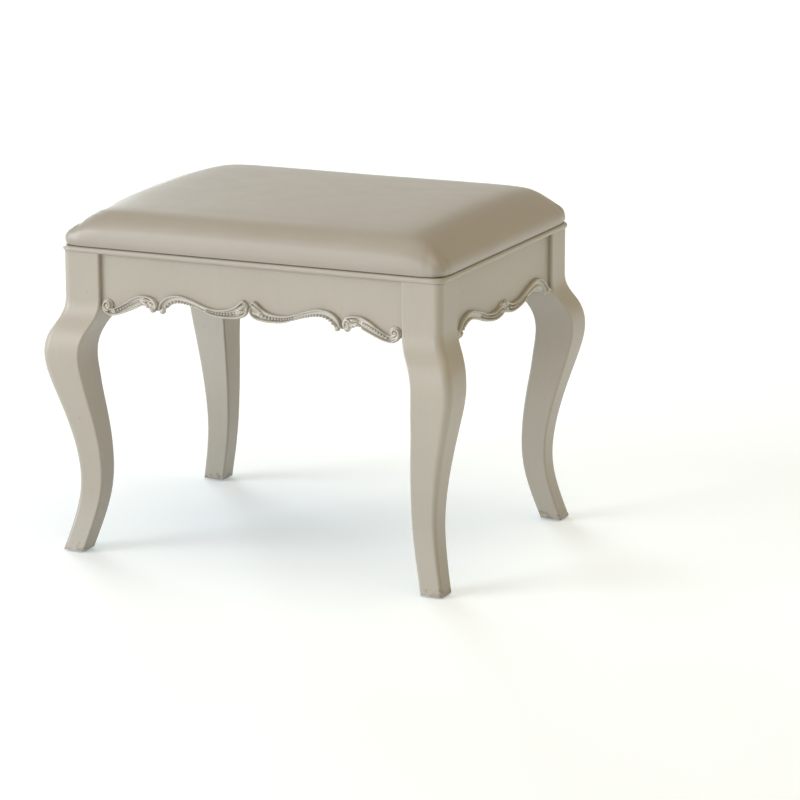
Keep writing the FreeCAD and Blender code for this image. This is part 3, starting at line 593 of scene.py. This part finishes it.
MATERIALS = {
    "painted_wood": painted_wood("painted_wood", 1.2 * MM, highlit_and_rubbed=False),
    "carved_wood": painted_wood("carved_wood", 2.2 * MM, highlit_and_rubbed=True),
    "bare_wood": bare_wood("bare_wood", (0.60, 0.41, 0.24), (0.40, 0.24, 0.12), 2.2),
    "plywood": bare_wood("plywood", (0.62, 0.46, 0.28), (0.47, 0.31, 0.17), 1.1),
    "foam": seat_foam(),
    "upholstery": upholstery(),
    "dust_cloth": dust_cloth(),
    "zinc_steel": zinc_steel(),
    "glide_plastic": glide_plastic(),
}


def finish_cad_nodes():
    """Give every CAD node the material of its slot."""
    for part in frame["record"]["subparts"]:
        node = frame["nodes"][part["node"]]
        node.data.materials.clear()
        node.data.materials.append(MATERIALS[part["material_slot"]])


# ---- Cushion ----

def border_rise(depth):
    """Height of the cushion's upright border, rounded over where it meets the shoulder."""
    return BORDER * np.sqrt(1 - (1 - np.clip(depth / BORDER_RUN, 0, 1)) ** 2)


def end_rise(depth):
    """Share of the cushion's rise at a distance in from its end."""
    return 1 - (1 - np.clip(depth / END_RUN, 0, 1)) ** END_STEEPNESS


def front_rise(depth, half_y):
    """Share of the cushion's rise at a distance in from its front: a round shoulder and a low crown."""
    rounding = np.sqrt(1 - (1 - np.clip(depth / FRONT_RUN, 0, 1)) ** 2)
    crown = 1 - (1 - np.clip(depth / half_y, 0, 1)) ** 2
    return (1 - CROWN_SHARE) * rounding + CROWN_SHARE * crown


def seat_sizes():
    """Half width and half depth of the seat's outline, and the heights of its seam and its crown."""
    low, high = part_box("seat_cover")
    return high.x, high.y, low.z, high.z


def cushion_surface(columns=96, rows=76):
    """Crowned top over a rounded rectangle, as a grid of points."""
    half_x, half_y, seam, crown = seat_sizes()
    half_x += END_FULLNESS
    half_y += FRONT_FULLNESS
    spread_x = np.sin(np.linspace(-1, 1, columns) * math.pi / 2) * half_x
    spread_y = np.sin(np.linspace(-1, 1, rows) * math.pi / 2) * half_y
    x, y = np.meshgrid(spread_x, spread_y)
    depth_x = half_x - np.abs(x)
    depth_y = half_y - np.abs(y)
    fall = 1 - CORNER_FALL * (np.abs(x) / half_x) ** 6 * (np.abs(y) / half_y) ** 6
    rise = end_rise(depth_x) * front_rise(depth_y, half_y) * fall
    z = seam + border_rise(np.minimum(depth_x, depth_y)) + (crown - seam - BORDER) * rise
    in_corner = (depth_x < SEAT_CORNER) & (depth_y < SEAT_CORNER)
    reach = np.hypot(SEAT_CORNER - depth_x, SEAT_CORNER - depth_y)
    outside = in_corner & (reach > SEAT_CORNER)
    pull = np.where(outside, SEAT_CORNER / np.maximum(reach, SEAT_CORNER), 1.0)
    x = np.sign(x) * (half_x - SEAT_CORNER + (SEAT_CORNER - depth_x) * pull)
    y = np.sign(y) * (half_y - SEAT_CORNER + (SEAT_CORNER - depth_y) * pull)
    return np.stack([x, y, z], axis=-1)


def border_of_grid(rows, columns):
    """Indices of a grid's outer points, in order round it."""
    last = rows * columns - 1
    border = list(range(columns)) + [row * columns + columns - 1 for row in range(1, rows)]
    border += [last - step for step in range(1, columns)]
    return border + [row * columns for row in range(rows - 2, 0, -1)]


def closed_layers(name, upper, lower):
    """Closed solid between two grids of points, the upper one above the lower one."""
    rows, columns = upper.shape[:2]
    half = rows * columns
    faces = []
    for row in range(rows - 1):
        for column in range(columns - 1):
            a = row * columns + column
            faces.append((a, a + 1, a + 1 + columns, a + columns))
            faces.append((half + a, half + a + columns, half + a + 1 + columns, half + a + 1))
    border = border_of_grid(rows, columns)
    for here, following in zip(border, border[1:] + border[:1]):
        faces.append((here, half + here, half + following, following))
    vertices = np.concatenate([upper.reshape(-1, 3), lower.reshape(-1, 3)])
    return mesh_object(name, vertices, faces)


def cushion_blank():
    """Closed blank: the cushion's crowned top with an upright skirt that runs on below the seam."""
    top = cushion_surface()
    under = top.copy()
    under[..., 2] = seat_sizes()[2] - SKIRT
    return closed_layers("seat_cushion", top, under)


def apply_modifier(piece, modifier):
    """Make a modifier's result the piece's own mesh."""
    bpy.context.view_layer.objects.active = piece
    for other in bpy.context.selected_objects:
        other.select_set(False)
    piece.select_set(True)
    bpy.ops.object.modifier_apply(modifier=modifier.name)


def read_points(piece):
    """Places of a piece's vertices, one row each."""
    points = np.zeros(len(piece.data.vertices) * 3)
    piece.data.vertices.foreach_get("co", points)
    return points.reshape(-1, 3)


def write_points(piece, points):
    piece.data.vertices.foreach_set("co", points.ravel())
    piece.data.update()


def spread_out(piece, values):
    """Even a value out over the mesh, by averaging it with its neighbours' values."""
    edges = np.zeros(len(piece.data.edges) * 2, dtype=int)
    piece.data.edges.foreach_get("vertices", edges)
    first, second = edges.reshape(-1, 2).T
    neighbours = np.bincount(edges, minlength=len(values))
    for _ in range(SPREAD_ROUNDS):
        total = np.bincount(first, values[second], len(values))
        total += np.bincount(second, values[first], len(values))
        values = (values + total / neighbours) / 2
    return values


def swell(piece):
    """Blow the cushion up as cloth from a slightly smaller shape, and keep a limited, evened out part
    of how far each point rises past the shape it had."""
    seam = seat_sizes()[2]
    target = read_points(piece)
    normals = np.zeros(len(piece.data.vertices) * 3)
    piece.data.vertices.foreach_get("normal", normals)
    normals = normals.reshape(-1, 3)
    above = np.clip((target[:, 2] - seam - BORDER) / BORDER, 0, 1)
    start = target - normals * (SHRINK * above)[:, None]
    write_points(piece, start)
    held = piece.vertex_groups.new(name="held")
    held.add([int(index) for index in np.where(above == 0)[0]], 1.0, "REPLACE")
    cloth = piece.modifiers.new("cloth", "CLOTH")
    cloth.settings.quality = 6
    cloth.settings.mass = 0.4
    cloth.settings.tension_stiffness = 12
    cloth.settings.compression_stiffness = 12
    cloth.settings.bending_stiffness = 0.8
    cloth.settings.shrink_min = -CLOTH_SLACK
    cloth.settings.use_pressure = True
    cloth.settings.uniform_pressure_force = 4.0
    cloth.settings.vertex_group_mass = "held"
    cloth.settings.effector_weights.gravity = 0
    for number in range(1, SWELL_FRAMES + 1):
        bpy.context.scene.frame_set(number)
    apply_modifier(piece, cloth)
    risen = ((read_points(piece) - target) * normals).sum(axis=1)
    limited = spread_out(piece, SWELL_CAP * np.tanh(risen / SWELL_CAP))
    write_points(piece, target + normals * (limited * above)[:, None])
    bpy.context.scene.frame_set(1)


def add_corner_folds(piece):
    """Soft folds where the cover is gathered at each corner, deepest just above the seam."""
    half_x, half_y, seam = seat_sizes()[:3]
    points = read_points(piece)
    height = points[:, 2] - seam
    board_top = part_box("seat_board")[1].z - seam
    over_board = BOARD_SHARE + (1 - BOARD_SHARE) * np.clip((height - board_top) / BOARD_FADE, 0, 1)
    fade = np.clip(1 - height / FOLD_HEIGHT, 0, 1) * over_board
    for sign_x in (-1, 1):
        for sign_y in (-1, 1):
            signs = np.array([sign_x, sign_y])
            centre = signs * np.array([half_x - FOLD_RADIUS, half_y - FOLD_RADIUS])
            offset = (points[:, :2] - centre) * signs
            distance = np.linalg.norm(offset, axis=1)
            angle = np.degrees(np.arctan2(offset[:, 1], offset[:, 0]))
            near = np.exp(-((distance - FOLD_RADIUS) / FOLD_REACH) ** 2) * (offset.min(axis=1) > 0)
            depth = np.zeros(len(points))
            for middle, amount, breadth in CORNER_FOLDS:
                depth += amount * MM * np.exp(-((angle - middle) / breadth) ** 2)
            inwards = -offset / np.maximum(distance, 1e-9)[:, None] * signs
            points[:, :2] += inwards * (depth * near * fade)[:, None]
    write_points(piece, points)


def turn_in_edge(piece):
    """Draw the cover's lowest stretch in to the seam, under the fuller part above it."""
    half_x, half_y, seam = seat_sizes()[:3]
    points = read_points(piece)
    share = np.clip(1 - (points[:, 2] - seam) / TURN_IN, 0, 1) ** 2
    points[:, 0] *= 1 - END_FULLNESS / half_x * share
    points[:, 1] *= 1 - FRONT_FULLNESS / half_y * share
    write_points(piece, points)


def ordered_rim(work):
    """Vertices of an open mesh's one rim, in order round it."""
    rim = {}
    for edge in work.edges:
        if len(edge.link_faces) == 1:
            for vertex in edge.verts:
                rim.setdefault(vertex, []).append(edge.other_vert(vertex))
    first = next(iter(rim))
    loop = [first, rim[first][0]]
    while True:
        following = [vertex for vertex in rim[loop[-1]] if vertex is not loop[-2]][0]
        if following is first:
            return loop
        loop.append(following)


def fit_to_board(piece):
    """Cut the skirt off at the seam, turn the hem in under the board and leave the board's space open."""
    half_x, half_y, seam = seat_sizes()[:3]
    board_low, board_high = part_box("seat_board")
    work = bmesh.new()
    work.from_mesh(piece.data)
    everything = work.verts[:] + work.edges[:] + work.faces[:]
    at_seam = {"plane_co": (0, 0, seam), "plane_no": (0, 0, 1)}
    bmesh.ops.bisect_plane(work, geom=everything, clear_inner=True, **at_seam)
    rim = ordered_rim(work)
    gap = 0.05 * MM
    hem = (half_x - HEM, half_y - HEM)
    board = (board_high.x + gap, board_high.y + gap)
    rings = [
        (hem, seam),
        (hem, board_low.z - gap),
        (board, board_low.z - gap),
        (board, board_high.z + gap),
    ]
    outer = rim
    for (reach_x, reach_y), height in rings:
        inner = []
        for vertex in rim:
            x = vertex.co.x * reach_x / half_x
            y = vertex.co.y * reach_y / half_y
            inner.append(work.verts.new((x, y, height)))
        for step in range(len(rim)):
            following = (step + 1) % len(rim)
            work.faces.new((outer[step], outer[following], inner[following], inner[step]))
        outer = inner
    work.faces.new(outer)
    bmesh.ops.recalc_face_normals(work, faces=work.faces)
    work.to_mesh(piece.data)
    work.free()


def make_cushion():
    """Crowned cushion in its cover, with folds at its corners and its hem turned in under the board."""
    piece = cushion_blank()
    remesh = piece.modifiers.new("remesh", "REMESH")
    remesh.mode = "VOXEL"
    remesh.voxel_size = VOXEL
    apply_modifier(piece, remesh)
    swell(piece)
    calm = piece.modifiers.new("calm", "SMOOTH")
    calm.factor = 0.5
    calm.iterations = 6
    apply_modifier(piece, calm)
    finer = piece.modifiers.new("finer", "SUBSURF")
    finer.levels = 1
    finer.render_levels = 1
    apply_modifier(piece, finer)
    turn_in_edge(piece)
    add_corner_folds(piece)
    fit_to_board(piece)
    piece.data.shade_smooth()
    piece.data.materials.clear()
    piece.data.materials.append(MATERIALS["upholstery"])
    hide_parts("seat_cover", "seat_foam")
    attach(piece, "root")


# ---- Dust cover ----

def make_dust_cloth(columns=90, rows=70):
    """Thin cloth stretched under the seat: pulled tight at the staples and slack between them."""
    low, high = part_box("dust_cover")
    x, y = np.meshgrid(np.linspace(-high.x, high.x, columns), np.linspace(-high.y, high.y, rows))
    over = np.maximum(0, np.abs(x) + np.abs(y) - (high.x + high.y - DUST_CHAMFER)) / 2
    x = x - np.sign(x) * over
    y = y - np.sign(y) * over
    edge = np.minimum(high.x - np.abs(x), high.y - np.abs(y))
    slack = np.clip(edge / SLACK_RUN, 0, 1) ** 0.7
    puckers = np.cos(x / STAPLE_STEP * 2 * math.pi) + np.cos(y / STAPLE_STEP * 2 * math.pi)
    fading = np.exp(-edge / PUCKER_RUN) * np.clip(edge / PUCKER_EDGE, 0, 1)
    gap = 0.05 * MM
    top = high.z - gap - SLACK_DROP * slack - PUCKER_DEPTH * (2 - puckers) * fading
    thickness = 0.6 * (high.z - low.z)
    upper = np.stack([x, y, top], axis=-1)
    lower = np.stack([x, y, top - thickness], axis=-1)
    piece = closed_layers("dust_cloth", upper, lower)
    piece.data.materials.append(MATERIALS["dust_cloth"])
    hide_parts("dust_cover")
    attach(piece, "root")


# ---- Stage ----

def add_sun(name, towards, strength, breadth, colour):
    """Distant lamp in the direction given, that lights the floor evenly. Its breadth is in degrees."""
    light = bpy.data.lights.new(name, "SUN")
    light.energy = strength
    light.angle = math.radians(breadth)
    light.color = colour
    holder = bpy.data.objects.new(name, light)
    holder.location = (0, 0, 3)
    holder.rotation_euler = Vector(towards).to_track_quat("Z", "Y").to_euler()
    bpy.context.scene.collection.objects.link(holder)


def make_stage():
    """Wide pale floor, three broad lamps and plain surroundings."""
    reach = 16.0
    level = -0.3 * MM
    around = [(-reach, -reach), (reach, -reach), (reach, reach), (-reach, reach)]
    corners = [(x, y, level) for x, y in around]
    floor = mesh_object("floor", corners, [(0, 1, 2, 3)], smooth=False)
    floor.data.materials.append(pale_floor())
    add_sun("overhead", (0.25, -0.10, 1.0), strength=0.74, breadth=60, colour=(1.0, 0.88, 0.68))
    add_sun("key", (-0.75, -0.66, 0.24), strength=2.4, breadth=34, colour=(0.93, 0.97, 1.0))
    add_sun("back_left", (-0.72, 0.66, 0.18), strength=1.85, breadth=30, colour=(0.86, 0.97, 1.0))
    bpy.context.scene.world = studio_surroundings()
    bpy.context.scene.view_settings.view_transform = "Standard"


def studio_surroundings():
    """Plain studio walls: daylight from the left, and warmer and a little dimmer on the right."""
    world = bpy.data.worlds.new("studio")
    world.use_nodes = True
    tree = world.node_tree
    place = add_node(tree, "TexCoord")
    across = add_node(tree, "SeparateXYZ", {"Vector": place.outputs["Generated"]})
    rightness = remap(tree, across.outputs["X"], -0.8, 0.8, 0, 1)
    colour = mix_colour(tree, rightness, (0.52, 0.53, 0.54), (0.50, 0.41, 0.24))
    tree.links.new(colour, tree.nodes["Background"].inputs["Color"])
    return world


def make_camera():
    """Long-lens camera in front of the stool, a little to its right and above it."""
    azimuth = math.radians(AZIMUTH)
    elevation = math.radians(ELEVATION)
    ahead = Vector((-math.sin(azimuth) * math.cos(elevation), math.cos(azimuth) * math.cos(elevation),
                    -math.sin(elevation)))
    right = Vector((math.cos(azimuth), math.sin(azimuth), 0))
    up = right.cross(ahead)
    aim = Vector((0, 0, AIM_HEIGHT)) + right * AIM_RIGHT - up * AIM_DOWN
    data = bpy.data.cameras.new("camera")
    data.lens = LENS
    data.clip_end = 100
    holder = bpy.data.objects.new("camera", data)
    holder.location = aim - ahead * DISTANCE
    holder.rotation_euler = ahead.to_track_quat("-Z", "Y").to_euler()
    bpy.context.scene.collection.objects.link(holder)
    bpy.context.scene.camera = holder


make_camera()
make_stage()
finish_cad_nodes()
make_cushion()
make_carving("front", 0, FRONT_CARVING)
make_carving("right", 1, SIDE_CARVING)
make_carving("back", 2, FRONT_CARVING)
make_carving("left", 3, SIDE_CARVING)
make_dust_cloth()
